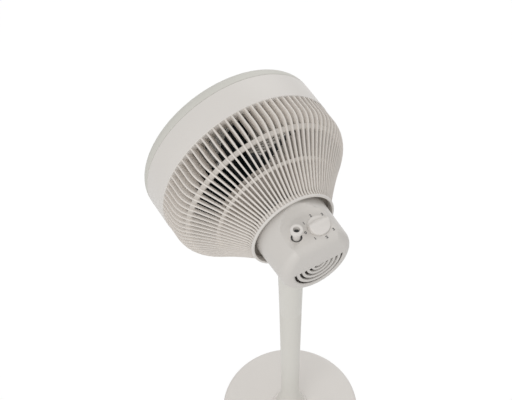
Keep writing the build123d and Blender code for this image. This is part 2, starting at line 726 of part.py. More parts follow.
with BuildPart() as base_plate:
    with BuildSketch(floor.offset(foot_h)):
        Circle(cover_in_r - seat_gap)
        with PolarLocations(boss_ring_r, foot_count, start_angle=90 + 180 / foot_count):
            Circle(base_screw_r + shaft_gap, mode=Mode.SUBTRACT)
    extrude(amount=plate_thick)
save(base_plate.part, "base_plate")
save(ring_on(floor, plate_z, plate_z + weight_thick, weight_bore_r, weight_r), "base_weight")

with BuildPart() as base_screws:
    with BuildSketch(floor.offset(foot_h - screw_head_h)):
        with PolarLocations(boss_ring_r, foot_count, start_angle=90 + 180 / foot_count):
            RegularPolygon(radius=screw_head_r, side_count=6)
    extrude(amount=screw_head_h)
    with BuildSketch(floor.offset(foot_h)):
        with PolarLocations(boss_ring_r, foot_count, start_angle=90 + 180 / foot_count):
            Circle(base_screw_r)
    extrude(amount=screw_tip_z - foot_h)
save(base_screws.part, "base_screws")

with BuildPart() as base_feet:
    with BuildSketch(floor):
        Circle(2 * foot_r)
        with PolarLocations(foot_ring_r, foot_count, start_angle=90):
            Circle(foot_r)
    extrude(amount=foot_h)
save(base_feet.part, "base_feet")

with BuildPart() as post_nut:
    with BuildSketch(floor.offset(base_boss_z - boss_wall - nut_h)):
        RegularPolygon(radius=nut_across_r, side_count=6)
        Circle(tenon_r + shaft_gap, mode=Mode.SUBTRACT)
    extrude(amount=nut_h)
save(post_nut.part, "post_nut")

gland = Plane(origin=(0, base_r, cord_hole_z), x_dir=(1, 0, 0), z_dir=(0, 1, 0))
gland_bore_r = 2.2
gland_flange_r = 4.8
gland_flange = 1.6
with BuildPart() as cord_gland:
    add(ring_on(gland, -2 * wall, gland_flange, gland_bore_r, cord_hole_r - seat_gap / 2))
    add(ring_on(gland, 0, gland_flange, gland_bore_r, gland_flange_r))
save(cord_gland.part, "cord_gland")

for name in written:
    print(name)
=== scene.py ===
import logging
import math
from dataclasses import dataclass, field
from enum import Enum

import bmesh
import bpy
import numpy as np
from mathutils import Matrix, Vector


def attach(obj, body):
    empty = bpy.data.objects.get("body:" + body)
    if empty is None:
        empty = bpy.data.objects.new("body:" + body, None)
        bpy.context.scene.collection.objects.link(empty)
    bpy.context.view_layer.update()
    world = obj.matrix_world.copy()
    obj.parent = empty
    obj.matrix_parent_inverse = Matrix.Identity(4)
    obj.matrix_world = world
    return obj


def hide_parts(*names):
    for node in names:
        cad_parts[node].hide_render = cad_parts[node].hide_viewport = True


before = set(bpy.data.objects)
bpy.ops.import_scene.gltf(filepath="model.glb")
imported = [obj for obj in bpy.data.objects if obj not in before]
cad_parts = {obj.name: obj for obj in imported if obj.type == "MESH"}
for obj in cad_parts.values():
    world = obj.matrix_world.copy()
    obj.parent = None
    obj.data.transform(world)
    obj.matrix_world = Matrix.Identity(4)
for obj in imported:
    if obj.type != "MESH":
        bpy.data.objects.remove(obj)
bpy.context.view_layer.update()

# Looks of a round air circulator fan on a slim post.  Sizes are in millimetres but for the
# studio's, and are turned into metres where a mesh is made.  s is the distance in front of the
# rear grille's lip along the fan's own axis, and r the distance from that axis.

log = logging.getLogger("circulator")
MM = 0.001
TAU = 2 * math.pi
WIDE_STEPS = 256        # steps round the head's rings and the base
SMALL_STEPS = 128       # steps round the post, the hub, the cap and the knob
WELD = 1e-6             # metres; points nearer than this are joined
CAD_WELD = 2e-6         # the same for the CAD nodes' loose triangles
SLIVER = 1e-7           # metres; edges shorter than this are dissolved
TINY = 1e-9             # keeps a length from being zero
MIX_A, MIX_B, MIX_RESULT = 6, 7, 2      # the Mix node's sockets for colours
Pair = tuple[float, float]
Triple = tuple[float, float, float]
Arrays = tuple[np.ndarray, np.ndarray]


class Axis(Enum):
    """The line that a turned piece is made round."""

    FAN = "fan"
    POST = "post"
    KNOB = "knob"


@dataclass(frozen=True)
class Place:
    """Where the fan's axis, the panel and the controls are, in millimetres."""

    axis_z: float = 480.0
    lip_y: float = 6.0
    panel_z: float = 519.0
    control_y: float = 41.0
    dial_x: float = -14.2
    knob_x: float = 17.5

    def head(self, s: np.ndarray, r: np.ndarray, turn: np.ndarray) -> np.ndarray:
        """Points at distance s, radius r and angle turn round the fan's axis.

        Args:
            s: distances in front of the lip.
            r: radii.
            turn: angles from +X towards +Z, in radians.

        Returns:
            The points, x = r cos(turn), y = lip - s, z = axis + r sin(turn).
        """
        s, r, turn = np.broadcast_arrays(s, r, turn)
        return np.stack([r * np.cos(turn), self.lip_y - s, self.axis_z + r * np.sin(turn)], -1)

    def post(self, z: np.ndarray, r: np.ndarray, turn: np.ndarray) -> np.ndarray:
        """Points at height z, radius r and angle turn round the post's axis.

        Args:
            z: heights above the floor.
            r: radii.
            turn: angles from +X towards +Y, in radians.

        Returns:
            The points, x = r cos(turn), y = r sin(turn), z.
        """
        z, r, turn = np.broadcast_arrays(z, r, turn)
        return np.stack([r * np.cos(turn), r * np.sin(turn), z], -1)

    def knob(self, z: np.ndarray, r: np.ndarray, turn: np.ndarray) -> np.ndarray:
        """Points at height z above the panel and radius r round the pull knob's axis."""
        return self.post(z, r, turn) + np.array([self.knob_x, self.control_y, self.panel_z])


PLACE = Place()


# ------------------------ finishes
class Nodes:
    """The node tree of one new material, with its shader and its Object coordinates."""

    def __init__(self, name: str) -> None:
        """Make the material and find its shader."""
        self.made = bpy.data.materials.new(name)
        self.made.use_nodes = True
        self.nodes, self.links = self.made.node_tree.nodes, self.made.node_tree.links
        self.shader = self.nodes["Principled BSDF"]
        self.place = self.nodes.new("ShaderNodeTexCoord").outputs["Object"]

    def texture(self, kind: str, **values: float) -> bpy.types.Node:
        """A texture node of the given kind on Object coordinates, with its sockets' values."""
        made = self.nodes.new(kind)
        for socket, value in values.items():
            made.inputs[socket].default_value = value
        self.links.new(self.place, made.inputs["Vector"])
        return made

    def tones(self, pattern: bpy.types.Node, shade: Triple, colour: Triple) -> None:
        """Let the base colour run from shade to colour with a texture."""
        tone = self.nodes.new("ShaderNodeMix")
        tone.data_type = "RGBA"
        tone.inputs[MIX_A].default_value = (*shade, 1.0)
        tone.inputs[MIX_B].default_value = (*colour, 1.0)
        self.links.new(pattern.outputs["Fac"], tone.inputs[0])
        self.links.new(tone.outputs[MIX_RESULT], self.shader.inputs["Base Color"])

    def relief(self, pattern: bpy.types.Node, strength: float, depth: float) -> None:
        """Let a texture raise a bump of the given strength and depth in metres."""
        bump = self.nodes.new("ShaderNodeBump")
        bump.inputs["Strength"].default_value = strength
        bump.inputs["Distance"].default_value = depth
        self.links.new(pattern.outputs["Fac"], bump.inputs["Height"])
        self.links.new(bump.outputs["Normal"], self.shader.inputs["Normal"])


@dataclass(frozen=True)
class Finish:
    """One procedural finish, mottled by noise and grained by a fine bump."""

    name: str
    colour: Triple
    shade: Triple
    roughness: float = 0.45
    metallic: float = 0.0
    mottle_scale: float = 18.0
    mottle_detail: float = 3.0
    grain_scale: float = 1400.0
    grain: float = 0.12
    grain_depth: float = 0.0002
    specular: float = 0.5
    polish: float = 0.06  # how far the roughness goes to either side of its middle
    smoothest: float = 0.03

    def build(self) -> bpy.types.Material:
        """Make the material.

        Returns:
            A material whose colour runs between two close tones with slow noise, whose
            roughness follows the same noise, and whose bump is a fine noise.
        """
        tree = Nodes(self.name)
        tree.shader.inputs["Metallic"].default_value = self.metallic
        tree.shader.inputs["Specular IOR Level"].default_value = self.specular
        mottle = tree.texture("ShaderNodeTexNoise", Scale=self.mottle_scale,
                              Detail=self.mottle_detail)
        tree.tones(mottle, self.shade, self.colour)
        polish = tree.nodes.new("ShaderNodeMapRange")
        polish.inputs["To Min"].default_value = max(self.roughness - self.polish,
                                                    self.smoothest)
        polish.inputs["To Max"].default_value = self.roughness + self.polish
        tree.links.new(mottle.outputs["Fac"], polish.inputs["Value"])
        tree.links.new(polish.outputs["Result"], tree.shader.inputs["Roughness"])
        tree.relief(tree.texture("ShaderNodeTexNoise", Scale=self.grain_scale), self.grain,
                    self.grain_depth)
        return tree.made


@dataclass(frozen=True)
class Ribbed:
    """A finish whose colour goes in fine bands along one direction, such as laminations."""

    name: str
    colour: Triple
    shade: Triple
    bands: float
    direction: str = "Y"
    distortion: float = 0.4
    roughness: float = 0.4
    metallic: float = 1.0
    height: float = 0.3
    depth: float = 0.0003

    def build(self) -> bpy.types.Material:
        """Make the material.

        Returns:
            A material with a wave of bands across the given direction, in colour and bump.
        """
        tree = Nodes(self.name)
        tree.shader.inputs["Metallic"].default_value = self.metallic
        tree.shader.inputs["Roughness"].default_value = self.roughness
        wave = tree.texture("ShaderNodeTexWave", Scale=self.bands, Distortion=self.distortion)
        wave.bands_direction = self.direction
        tree.tones(wave, self.shade, self.colour)
        tree.relief(wave, self.height, self.depth)
        return tree.made


SHELL = Finish("warm_white_shell", (0.764, 0.731, 0.694), (0.738, 0.706, 0.669), 0.42)
FINS = Finish("warm_white_fins", (0.770, 0.722, 0.671), (0.745, 0.697, 0.646), 0.5)
# The centre cap is the ivory made paler: painted light on its back, which the lamps barely reach
# through the fins.
CAP_PAINTED_LIGHT = Finish("pale_cap_painted_light", (0.86, 0.83, 0.77), (0.84, 0.81, 0.75), 0.42)
# The housing is the ivory made darker: painted shade for its rear-facing sides, which take less
# light.
HOUSING_PAINTED_SHADE = Finish("warm_white_housing_painted_shade", (0.684, 0.653, 0.617), (0.660, 0.630, 0.594), 0.42)
# The rings are the fins' plastic made darker: painted shade for where they sit under the fins'
# edges.
RINGS_PAINTED_SHADE = Finish("shaded_rings", (0.61, 0.57, 0.525), (0.585, 0.545, 0.50), 0.5)
BEZEL = Finish("bezel_greige", (0.680, 0.668, 0.617), (0.655, 0.643, 0.592), 0.5)
# The front grille is the bezel's moulding made darker: painted shade for the inside of the head,
# seen through the fins.
GRILLE_PAINTED_SHADE = Finish("greige_grille_painted_shade", (0.529, 0.498, 0.447), (0.504, 0.473, 0.422), 0.5)
DUCT = Finish("tan_duct", (0.74, 0.69, 0.62), (0.71, 0.66, 0.59), 0.5)
# The cone is the ivory made dark taupe: painted shade for the cone seen deep between the fins.
CONE_PAINTED_SHADE = Finish("taupe_cone_painted_shade", (0.40, 0.36, 0.32), (0.38, 0.34, 0.30), 0.5)
# Dark taupe for parts deep inside the head: painted shade on the ivory flange behind the lip;
# the gear case takes the same tone.
INNER_PAINTED_SHADE = Finish("taupe_inner_painted_shade", (0.25, 0.22, 0.19), (0.22, 0.195, 0.17), 0.55)
DARK = Finish("black_blades", (0.010, 0.017, 0.018), (0.006, 0.011, 0.012), 0.42, grain=0.03,
              mottle_scale=9.0, specular=0.25)
POST = Finish("post_paint", (0.738, 0.718, 0.666), (0.720, 0.699, 0.648), 0.38, grain=0.05)
STEEL = Finish("bright_steel", (0.60, 0.60, 0.60), (0.52, 0.52, 0.53), 0.28, metallic=1.0,
               mottle_scale=60.0, grain_scale=700.0)
ALLOY = Finish("cast_alloy", (0.56, 0.57, 0.58), (0.46, 0.47, 0.48), 0.5, metallic=1.0,
               mottle_scale=80.0, grain_scale=500.0, grain=0.35)
IRON = Finish("cast_iron", (0.05, 0.05, 0.055), (0.09, 0.09, 0.095), 0.75, metallic=0.6,
              mottle_scale=120.0, grain_scale=400.0, grain=0.6)
BRONZE = Finish("sintered_bronze", (0.52, 0.36, 0.16), (0.42, 0.28, 0.12), 0.45, metallic=1.0,
                mottle_scale=200.0, grain_scale=1500.0, grain=0.3)
RUBBER = Finish("black_rubber", (0.018, 0.018, 0.018), (0.03, 0.03, 0.03), 0.85, grain=0.4,
                grain_scale=900.0)
SLEEVE = Finish("capacitor_sleeve", (0.02, 0.02, 0.025), (0.035, 0.035, 0.04), 0.3)
# Dark grey for the printed numbers, and painted shade for the ring down in the gap round the
# pull knob's stem.
INK_AND_SHADE = Finish("print_and_painted_shade_grey", (0.035, 0.035, 0.035), (0.05, 0.05, 0.05), 0.6, grain=0.02)
SWITCH = Finish("switch_body", (0.55, 0.54, 0.50), (0.50, 0.49, 0.45), 0.5)
LAMINATION = Ribbed("laminations", (0.42, 0.42, 0.44), (0.16, 0.16, 0.17), 330.0)
WINDING = Ribbed("lacquered_wire", (0.55, 0.24, 0.09), (0.28, 0.10, 0.03), 260.0, roughness=0.35)


class Paintbox:
    """Builds each finish once and hands it out."""

    def __init__(self) -> None:
        """Start with no finish built."""
        self.made: dict[str, bpy.types.Material] = {}

    def of(self, finish: Finish | Ribbed) -> bpy.types.Material:
        """The material of a finish, built at its first use."""
        if finish.name not in self.made:
            self.made[finish.name] = finish.build()
        return self.made[finish.name]


PAINT = Paintbox()


# ------------------------ surfaces from numpy
def grid_faces(rows: int, columns: int, closed: bool) -> np.ndarray:
    """Quads between rings of points stored ring after ring.

    Args:
        rows: number of rings.
        columns: number of points in a ring.
        closed: whether the last ring joins the first.

    Returns:
        One row of four point numbers per quad.
    """
    index = np.arange(rows * columns).reshape(rows, columns)
    if closed:
        index = np.vstack([index, index[:1]])
    index = np.hstack([index, index[:, :1]])
    corners = (index[:-1, :-1], index[:-1, 1:], index[1:, 1:], index[1:, :-1])
    return np.stack([c.ravel() for c in corners], -1)


def sleeves(rows: int, columns: int, count: int) -> Arrays:
    """Quads of several equal sleeves, whose points are stored one sleeve after the other.

    Args:
        rows: rows of points along a sleeve.
        columns: points round it.
        count: number of sleeves.

    Returns:
        The quads, and each sleeve's first point number.
    """
    starts = rows * columns * np.arange(count)[:, None, None]
    return (grid_faces(rows, columns, False)[None] + starts).reshape(-1, 4), starts


def bars(rows: int, columns: int, count: int) -> list[list[int]]:
    """Faces of several equal sleeves, each closed by one face at either end."""
    quads, starts = sleeves(rows, columns, count)
    near = np.arange(columns)
    ends = np.stack([near, (rows - 1) * columns + near])[None] + starts
    return quads.tolist() + ends.reshape(-1, columns).tolist()


def full_turn(steps: int) -> np.ndarray:
    """The angles of equal steps round a full turn, as one row."""
    return np.linspace(0, TAU, steps, endpoint=False)[None, :]


def set_round(count: int) -> np.ndarray:
    """The angles of pieces set evenly round an axis, one layer of a stack each."""
    return (np.arange(count) * TAU / count)[:, None, None]


def rounded(points: list[Triple], steps: int = 6) -> np.ndarray:
    """A closed outline whose corners are arcs.

    Args:
        points: corners as (s, r, radius of the corner), in order round the outline.
        steps: points on each arc.

    Returns:
        The outline's points. Each arc touches both sides at radius / tan(half the corner)
        from the corner, and its points follow by turning round the arc's centre.
    """
    corners = np.array([p[:2] for p in points], float)
    radii = np.array([p[2] for p in points], float)
    back = np.roll(corners, 1, 0) - corners
    ahead = np.roll(corners, -1, 0) - corners
    back_length = np.linalg.norm(back, axis=1, keepdims=True)
    ahead_length = np.linalg.norm(ahead, axis=1, keepdims=True)
    back, ahead = back / back_length, ahead / ahead_length
    half = np.arccos(np.clip((back * ahead).sum(1), -1, 1)) / 2
    reach = radii / np.tan(half)
    middle = back + ahead
    middle /= np.maximum(np.linalg.norm(middle, axis=1, keepdims=True), TINY)
    centre = corners + middle * (radii / np.sin(half))[:, None]
    start = corners + back * reach[:, None] - centre
    finish = corners + ahead * reach[:, None] - centre
    sweep = np.pi - 2 * half
    mix = np.linspace(0, 1, steps)[None, :, None]
    wide = np.maximum(sweep, WELD)[:, None, None]
    arc = (np.sin((1 - mix) * wide) * start[:, None] + np.sin(mix * wide) * finish[:, None])
    arc = arc / np.sin(wide) + centre[:, None]
    keep = [arc[k] if radii[k] > 0 else corners[k:k + 1] for k in range(len(points))]
    return np.vstack(keep)


def placed(name: str, data: bpy.types.ID) -> bpy.types.Object:
    """A new object of the given data, linked to the scene."""
    made = bpy.data.objects.new(name, data)
    bpy.context.scene.collection.objects.link(made)
    return made


def merged(points: np.ndarray, faces: list[list[int]], name: str) -> bpy.types.Mesh:
    """A mesh in metres, with doubles merged and its faces pointing outwards.

    Args:
        points: the points, in millimetres.
        faces: point numbers of each face.
        name: the mesh's name.

    Returns:
        The mesh.
    """
    mesh = bpy.data.meshes.new(name)
    mesh.from_pydata((points.reshape(-1, 3) * MM).tolist(), [], faces)
    work = bmesh.new()
    work.from_mesh(mesh)
    bmesh.ops.remove_doubles(work, verts=work.verts, dist=WELD)
    bmesh.ops.dissolve_degenerate(work, edges=work.edges, dist=SLIVER)
    bmesh.ops.recalc_face_normals(work, faces=work.faces)
    work.to_mesh(mesh)
    work.free()
    return mesh


@dataclass(frozen=True)
class Dress:
    """What a piece is made of, what it rides on and what it stands for."""

    finish: Finish | Ribbed
    body: str
    slot: str
    replaces: tuple[str, ...] = ()
    crease: float = 32.0

    def skin(self, node: str) -> None:
        """Dress a smooth copy of a CAD node; its big faces set the normals of its fillets."""
        made = self.piece(smooth_copy(node))
        made.modifiers.new("face_weighted", "WEIGHTED_NORMAL").keep_sharp = True

    def piece(self, mesh: bpy.types.Mesh) -> bpy.types.Object:
        """Put a mesh into the scene as a finished piece.

        Args:
            mesh: the piece's mesh, in place and with the piece's name.

        Returns:
            The object, smooth but for edges sharper than the crease angle.
        """
        made = placed(mesh.name, mesh)
        mesh.materials.clear()
        mesh.materials.append(PAINT.of(self.finish))
        mesh.polygons.foreach_set("use_smooth", np.ones(len(mesh.polygons), bool))
        mesh.set_sharp_from_angle(angle=math.radians(self.crease))
        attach(made, self.body)
        if self.replaces:
            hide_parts(*self.replaces)
        log.info("%s: %d faces, on %s", made.name, len(mesh.polygons), self.body)
        return made


def joined(parts: list[Arrays]) -> Arrays:
    """Several lots of points and quads as one lot, with the point numbers moved on."""
    counts = np.cumsum([0] + [len(p.reshape(-1, 3)) for p, _ in parts])
    points = np.vstack([p.reshape(-1, 3) for p, _ in parts])
    faces = np.vstack([f + counts[k] for k, (_, f) in enumerate(parts)])
    return points, faces


def hoops(outlines: list[np.ndarray], axis: Axis,
          segments: int) -> Arrays:
    """Closed outlines carried round an axis.

    Args:
        outlines: each one's points (s or z, r).
        axis: the fan's axis, the post's or the pull knob's.
        segments: steps round the axis.

    Returns:
        The points, a circle of its own radius for each outline point, and the quads.
    """
    at = {Axis.FAN: PLACE.head, Axis.POST: PLACE.post, Axis.KNOB: PLACE.knob}[axis]
    turn = full_turn(segments)
    return joined([(at(outline[:, :1], outline[:, 1:], turn),
                    grid_faces(len(outline), segments, True)) for outline in outlines])


def turned(outlines: list[np.ndarray], axis: Axis, segments: int, name: str) -> bpy.types.Mesh:
    """A mesh of closed outlines carried round an axis, with hoops' arguments and its name."""
    points, faces = hoops(outlines, axis, segments)
    return merged(points, faces.tolist(), name)


def smooth_copy(node: str) -> bpy.types.Mesh:
    """A copy of a CAD node's mesh with its loose triangles joined, so that it shades smooth."""
    work = bmesh.new()
    work.from_mesh(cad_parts[node].data)
    bmesh.ops.remove_doubles(work, verts=work.verts, dist=CAD_WELD)
    bmesh.ops.dissolve_degenerate(work, edges=work.edges, dist=SLIVER)
    mesh = bpy.data.meshes.new(node + "_skin")
    work.to_mesh(mesh)
    work.free()
    return mesh


# ------------------------ rear grille
@dataclass
class RearGrille:
    """The straight fins from the lip to the band, the lip, the band and the rings inside."""

    count: int = 84
    first_fin: float = 3.05              # degrees from +X towards +Z
    thick: float = 2.2                   # of a fin at its outer edge
    edge: float = 0.4                    # radius of a fin's long edges
    fin_depth: float = 10.0              # roughly, to turn that radius into a share of the depth
    draft: Pair = (0.01, 0.09)           # lean of a fin's sides, rear and front
    draft_s: Pair = (60.0, 80.0)         # where it grows from one to the other
    tip_r: float = 59.4
    root_r: float = 57.6
    outer_r: float = 124.4
    inner_r: float = 112.0
    rear_s: float = 0.6
    front_s: float = 111.0
    outer_s: Triple = (7.2, 43.4, 76.4)  # corners of the outer edge
    bow_r: float = 90.3                  # radius of the middle one
    outer_ease: Triple = (4.0, 28.0, 11.0)
    inner_s: Pair = (14.5, 72.0)         # corners of the inner edge
    inner_ease: Pair = (6.0, 8.0)
    head_r: float = 125.0
    lip_s: Triple = (-0.8, 2.4, 9.45)    # rear, end of its bead, front
    lip_r: Triple = (56.2, 57.4, 59.6)   # inside, outside, bead
    band_s: Pair = (110.5, 151.5)
    band_root_r: float = 114.8
    wall: float = 2.4
    flange_s: Pair = (9.5, 11.9)
    flange_r: Pair = (42.0, 57.4)
    ring_s: Pair = (38.4, 66.0)
    ring_width: Pair = (3.4, 4.6)
    ring_height: float = 3.4
    ring_cover: Pair = (2.5, 2.6)        # depth of the rings below the outer edge
    steps: int = 46                      # points along a fin
    ease_steps: int = 9
    edge_steps: int = 4

    def outer_edge(self) -> np.ndarray:
        """The fins' outer edge as (s, r), from the lip to the band.

        Returns:
            Points along straight runs joined by eased corners, evenly spaced.
        """
        first, bow, last = self.outer_s
        corners = np.array([(self.rear_s, self.tip_r), (first, self.tip_r), (bow, self.bow_r),
                            (last, self.outer_r), (self.front_s, self.outer_r)])
        return self.eased(corners, self.outer_ease)

    def inner_edge(self) -> np.ndarray:
        """The fins' inner edge as (s, r), from the lip to the band."""
        first, last = self.inner_s
        corners = np.array([(self.rear_s, self.root_r), (first, self.root_r),
                            (last, self.inner_r), (self.front_s, self.inner_r)])
        return self.eased(corners, self.inner_ease)

    def eased(self, corners: np.ndarray, reach: tuple[float, ...]) -> np.ndarray:
        """A line of straight runs whose corners are eased, evenly spaced.

        Args:
            corners: the line's two ends and the corners between them.
            reach: how far before and after each of these corners it leaves the straight runs.

        Returns:
            Points. Each eased corner is a quadratic curve, (1-t)^2 a + 2t(1-t) b + t^2 c.
        """
        t = np.linspace(0, 1, self.ease_steps)[:, None]
        line = [corners[:1]]
        for before, corner, after, far in zip(corners[:-2], corners[1:-1], corners[2:], reach):
            back = (before - corner) / np.linalg.norm(before - corner)
            ahead = (after - corner) / np.linalg.norm(after - corner)
            start, end = corner + back * far, corner + ahead * far
            line.append((1 - t) ** 2 * start + 2 * t * (1 - t) * corner + t ** 2 * end)
        line.append(corners[-1:])
        run = np.vstack(line)
        gone = np.concatenate([[0], np.cumsum(np.linalg.norm(np.diff(run, axis=0), axis=1))])
        want = np.linspace(0, gone[-1], self.steps)
        return np.stack([np.interp(want, gone, run[:, k]) for k in (0, 1)], -1)

    def fin_section(self) -> Arrays:
        """One fin's rounded cross-section.

        Returns:
            The share of the way from the inner to the outer edge, and the sideways offset.
        """
        half = self.thick / 2
        bend = np.linspace(0, np.pi / 2, self.edge_steps)
        near = self.edge / self.fin_depth * (1 - np.sin(bend))[::-1]
        side = (half - self.edge * (1 - np.cos(bend)))[::-1]
        along = np.concatenate([near, 1 - near[::-1]])
        away = np.concatenate([side, side[::-1]])
        return np.concatenate([along, along[::-1]]), np.concatenate([away, -away[::-1]])

    def fins(self) -> bpy.types.Mesh:
        """All the fins: the section, carried along both edges and turned round the axis.

        Returns:
            The mesh. The sides lean by the mould's draft, so a fin's half thickness grows from
            its outer edge inwards by draft times the depth; the draft grows evenly with s from
            its first to its second value.
        """
        outer, inner = self.outer_edge(), self.inner_edge()
        along, away = self.fin_section()
        line = inner[:, None] + along[None, :, None] * (outer - inner)[:, None]
        turn = set_round(self.count) + math.radians(self.first_fin)
        points = PLACE.head(line[None, ..., 0], line[None, ..., 1], turn)
        side = np.stack([-np.sin(turn), np.zeros_like(turn), np.cos(turn)], -1)
        depth = np.linalg.norm(outer - inner, axis=1)[:, None]
        draft = np.interp(outer[:, :1], self.draft_s, self.draft)
        lean = np.sign(away) * draft * depth * (1 - along)
        points = points + side * (away + lean)[None, ..., None]
        return merged(points, bars(self.steps, len(along), self.count), "grille_fins")

    def rims(self) -> bpy.types.Mesh:
        """The lip and the band at the two ends of the fins, turned."""
        rear, bead, front = self.lip_s
        inside, outside, bead_r = self.lip_r
        lip = rounded([(rear, inside, 1.0), (rear, bead_r, 1.4), (bead, bead_r, 0.6),
                       (bead, outside, 0), (front, outside, 0), (front, inside, 0)])
        rear, front = self.band_s
        step, inside = rear + self.wall, self.head_r - self.wall
        band = rounded([(rear, self.band_root_r, 0), (rear, self.head_r, 0.9),
                        (front, self.head_r, 0.5), (front, inside, 0), (step, inside, 1.0),
                        (step, self.band_root_r, 0)])
        return turned([lip, band], Axis.FAN, WIDE_STEPS, "grille_rims")

    def flange(self) -> bpy.types.Mesh:
        """The flange in front of the lip that carries the motor's plate, turned."""
        (rear, front), (inside, outside) = self.flange_s, self.flange_r
        outline = rounded([(rear, inside, 0.6), (rear, outside, 0), (front, outside, 0),
                           (front, inside, 0.6)])
        return turned([outline], Axis.FAN, WIDE_STEPS, "grille_flange")

    def rings(self) -> bpy.types.Mesh:
        """The two rings through the fins, which follow the fins' outer edge from below it."""
        edge = self.outer_edge()
        outlines = []
        for start, width, cover in zip(self.ring_s, self.ring_width, self.ring_cover):
            reach = np.array([start, start + width])
            high = np.interp(reach, edge[:, 0], edge[:, 1]) - cover
            low = high - self.ring_height
            outlines.append(rounded([(reach[0], low[0], 0.5), (reach[0], high[0], 0.5),
                                     (reach[1], high[1], 0.5), (reach[1], low[1], 0.5)]))
        return turned(outlines, Axis.FAN, WIDE_STEPS, "grille_rings")

    def build(self) -> None:
        """Make the fins, the rims, the flange and the rings and dress them."""
        Dress(FINS, "head", "ivory_plastic", ("rear_grille",)).piece(self.fins())
        Dress(SHELL, "head", "ivory_plastic").piece(self.rims())
        # The ivory flange's dark taupe is painted shade.
        Dress(INNER_PAINTED_SHADE, "head", "ivory_plastic").piece(self.flange())
        # The rings' darker tone is painted shade.
        Dress(RINGS_PAINTED_SHADE, "head", "ivory_plastic").piece(self.rings())


# ------------------------ front face
@dataclass
class FrontFace:
    """The rounded bezel, the swirl of ribs and the centre cap."""

    head_r: float = 124.8
    rear_s: float = 151.9
    front_s: float = 170.0
    mouth_s: float = 162.0         # where the bezel's inner side meets the mouth
    round: float = 14.5
    tongue_s: float = 144.8        # rear end of the bezel's tongue inside the band
    tongue_r: Pair = (117.8, 122.4)
    play: float = 0.05
    rib_count: int = 72
    rib_thick: float = 1.6
    rib_nose: float = 0.85         # depth of a rib's rounded front
    rib_offset: float = 22.0
    rib_s: Pair = (162.1, 167.5)
    rib_steps: int = 14
    nose_steps: int = 7
    rib_sunk: Pair = (1.5, 0.6)    # ends inside the cap's and the field's edge
    cap_r: float = 34.0
    field_r: float = 110.1
    inner_ring: Pair = (2.4, 1.2)  # reach inside and outside the cap's edge
    outer_ring_r: float = 107.9
    dome: float = 2.2
    dome_r: float = 0.6            # the dome ends this far inside the cap's edge
    dome_steps: int = 24
    dome_crowd: float = 0.8
    roll: tuple[Pair, ...] = (     # s, and how far inside the cap's edge
        (167.6, 0.15), (167.2, 0.0), (166.8, 0.2), (166.8, 2.4), (162.0, 2.6))

    def bezel(self) -> bpy.types.Mesh:
        """The bezel: a straight side, a quarter round, a mouth and a tongue, turned."""
        mouth = self.head_r - self.round
        low, high = self.tongue_r
        outline = rounded([(self.rear_s, high, 0), (self.rear_s, self.head_r, 0.5),
                           (self.front_s, self.head_r, self.round - self.play),
                           (self.front_s, mouth - self.play, 0.4), (self.mouth_s, mouth, 0),
                           (self.rear_s, low, 0), (self.tongue_s, low, 0.4),
                           (self.tongue_s, high, 0.4)], steps=16)
        return turned([outline], Axis.FAN, WIDE_STEPS, "front_bezel_skin")

    def ribs(self) -> bpy.types.Mesh:
        """The swirl: straight bars that pass the axis at a distance, and two rings.

        Returns:
            The mesh. A bar runs at the offset w from the axis, from the cap's ring to the
            outer ring; its section is a bar with a rounded front. Its points (u, w) are turned
            by equal steps t, x = u cos(t) - w sin(t), z = axis + u sin(t) + w cos(t).
        """
        sunk_in, sunk_out = self.rib_sunk
        low = math.sqrt((self.cap_r - sunk_in) ** 2 - self.rib_offset ** 2)
        high = math.sqrt((self.field_r - sunk_out) ** 2 - (self.rib_offset + 1) ** 2)
        rear, front = self.rib_s
        half = self.rib_thick / 2
        straight = front - rear - self.rib_nose
        bend = np.linspace(0, np.pi, self.nose_steps)[1:-1]
        across = np.array([half, half, *(half * np.cos(bend)), -half, -half])
        rise = np.array([0.0, straight, *(straight + self.rib_nose * np.sin(bend)), straight,
                         0.0])
        along = np.linspace(low, high, self.rib_steps)[:, None]
        u, w = along + 0 * across, self.rib_offset + across + 0 * along
        turn = set_round(self.rib_count)
        s = rear + rise[None, None, :] + 0 * u[None]
        points = np.stack([u * np.cos(turn) - w * np.sin(turn), PLACE.lip_y - s + 0 * turn,
                           PLACE.axis_z + u * np.sin(turn) + w * np.cos(turn)], -1)
        points = points.reshape(-1, 3)
        reach_in, reach_out = self.inner_ring
        rings, quads = hoops([
            rounded([(rear, inside, 0), (rear, outside, 0), (front, outside, 0.5),
                     (front, inside, 0.5)])
            for inside, outside in ((self.cap_r - reach_in, self.cap_r + reach_out),
                                    (self.outer_ring_r, self.field_r))], Axis.FAN, WIDE_STEPS)
        faces = bars(self.rib_steps, len(across), self.rib_count)
        return merged(np.vstack([points, rings]), faces + (quads + len(points)).tolist(),
                      "front_grille_skin")

    def cap(self) -> bpy.types.Mesh:
        """The centre cap: a dome, s = front - dome (r / cap_r)^2, with a rolled edge."""
        share = np.linspace(0, 1, self.dome_steps) ** self.dome_crowd
        r = share * (self.cap_r - self.dome_r)
        dome = np.stack([self.front_s - self.play - self.dome * (r / self.cap_r) ** 2, r], -1)
        edge = [(s, self.cap_r - inset) for s, inset in self.roll]
        return turned([np.vstack([dome, edge, [(self.mouth_s, 0.0)]])], Axis.FAN, SMALL_STEPS,
                      "centre_cap_skin")

    def build(self) -> None:
        """Make the three pieces and dress them."""
        Dress(BEZEL, "head", "ivory_plastic", ("front_bezel",)).piece(self.bezel())
        # The grille's darker greige is painted shade.
        Dress(GRILLE_PAINTED_SHADE, "head", "ivory_plastic", ("front_grille",)).piece(self.ribs())
        # The cap's paler ivory is painted light.
        Dress(CAP_PAINTED_LIGHT, "head", "ivory_plastic", ("centre_cap",)).piece(self.cap())


